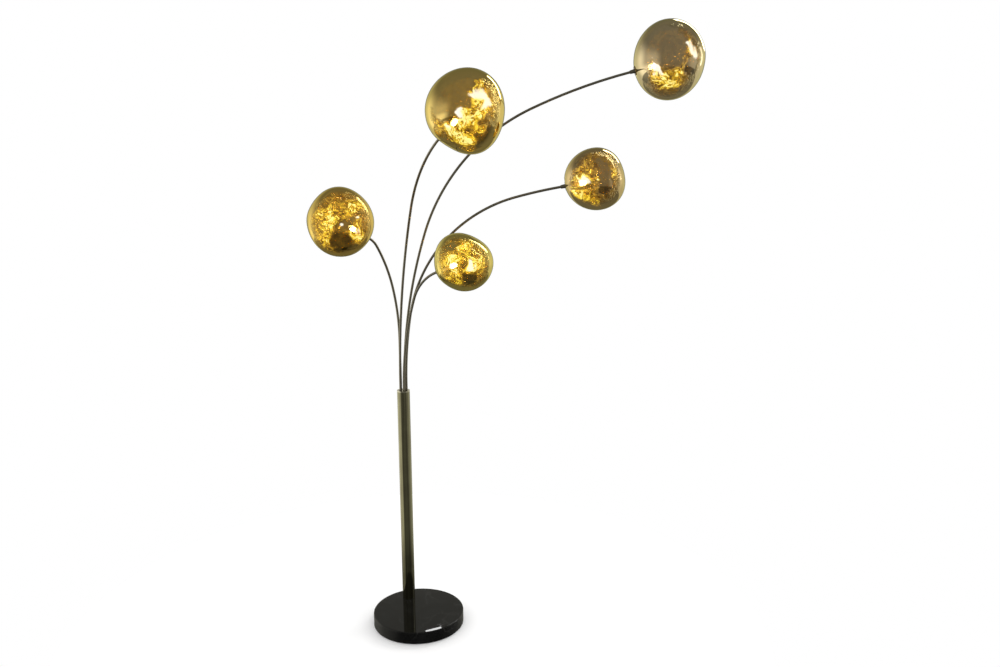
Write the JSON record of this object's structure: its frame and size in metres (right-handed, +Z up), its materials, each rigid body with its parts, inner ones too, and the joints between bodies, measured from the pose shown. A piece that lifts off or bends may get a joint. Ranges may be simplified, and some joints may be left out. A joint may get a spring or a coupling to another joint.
{
  "type": "tree floor lamp",
  "caption": "Tree floor lamp: thin curved arms fan out from an off-centre metal pole on a round stone base and carry irregular blown globes with a gold semi-mirror coating.",
  "frame": {"origin": "centre of the base's underside", "axes": "+X right, towards the longest arm; +Y to the back; +Z up"},
  "size_m": [1.2176, 0.5221, 1.9463],
  "materials": {
    "stone": "polished black marble",
    "pad": "matt foam",
    "black_nylon": "moulded",
    "white_nylon": "moulded",
    "steel": "zinc plated",
    "pole_gold": "mirror polished dark gold",
    "arm_gold": "mirror polished dark gold",
    "ceramic": "unglazed",
    "lamp_glass": "frosted, lit",
    "globe_gold": "blown polycarbonate with a gold semi-mirror film"
  },
  "bodies": {
    "root": {"base_pad": "pad", "marble_base": "stone", "cable_grommet": "black_nylon", "foot_gasket": "pad", "foot_plug": "steel", "foot_stud": "steel", "foot_washer": "steel", "foot_nut": "steel", "terminal_block": "white_nylon", "pole_tube": "pole_gold", "pole_cap": "pole_gold", "guide_disc": "white_nylon", "grub_screws": "steel", "stem_bushes": "black_nylon", "friction_washers": "steel"},
    "left_arm": {"left_arm_tube": "arm_gold", "left_stem_collar": "arm_gold", "left_shade_cap": "arm_gold", "left_lampholder": "ceramic", "left_bulb": "lamp_glass", "left_shade": "globe_gold"},
    "front_arm": {"front_arm_tube": "arm_gold", "front_stem_collar": "arm_gold", "front_shade_cap": "arm_gold", "front_lampholder": "ceramic", "front_bulb": "lamp_glass", "front_shade": "globe_gold"},
    "long_arm": {"long_arm_tube": "arm_gold", "long_stem_collar": "arm_gold", "long_shade_cap": "arm_gold", "long_lampholder": "ceramic", "long_bulb": "lamp_glass", "long_shade": "globe_gold"},
    "side_arm": {"side_arm_tube": "arm_gold", "side_stem_collar": "arm_gold", "side_shade_cap": "arm_gold", "side_lampholder": "ceramic", "side_bulb": "lamp_glass", "side_shade": "globe_gold"},
    "low_arm": {"low_arm_tube": "arm_gold", "low_stem_collar": "arm_gold", "low_shade_cap": "arm_gold", "low_lampholder": "ceramic", "low_bulb": "lamp_glass", "low_shade": "globe_gold"}
  },
  "joints": [
    {"name": "left_swivel", "type": "hinge", "parent": "root", "child": "left_arm", "pos_m": [-0.04951, 0.0912, 0.783], "axis": [0, 0, 1], "range_deg": [-35, 35]},
    {"name": "front_swivel", "type": "hinge", "parent": "root", "child": "front_arm", "pos_m": [-0.04951, 0.07885, 0.783], "axis": [0, 0, 1], "range_deg": [-25, 15]},
    {"name": "long_swivel", "type": "hinge", "parent": "root", "child": "long_arm", "pos_m": [-0.03777, 0.09501, 0.783], "axis": [0, 0, 1], "range_deg": [-5, 45]},
    {"name": "side_swivel", "type": "hinge", "parent": "root", "child": "side_arm", "pos_m": [-0.03051, 0.08503, 0.783], "axis": [0, 0, 1], "range_deg": [-10, 10]},
    {"name": "low_swivel", "type": "hinge", "parent": "root", "child": "low_arm", "pos_m": [-0.03777, 0.07504, 0.783], "axis": [0, 0, 1], "range_deg": [-30, 5]}
  ]
}
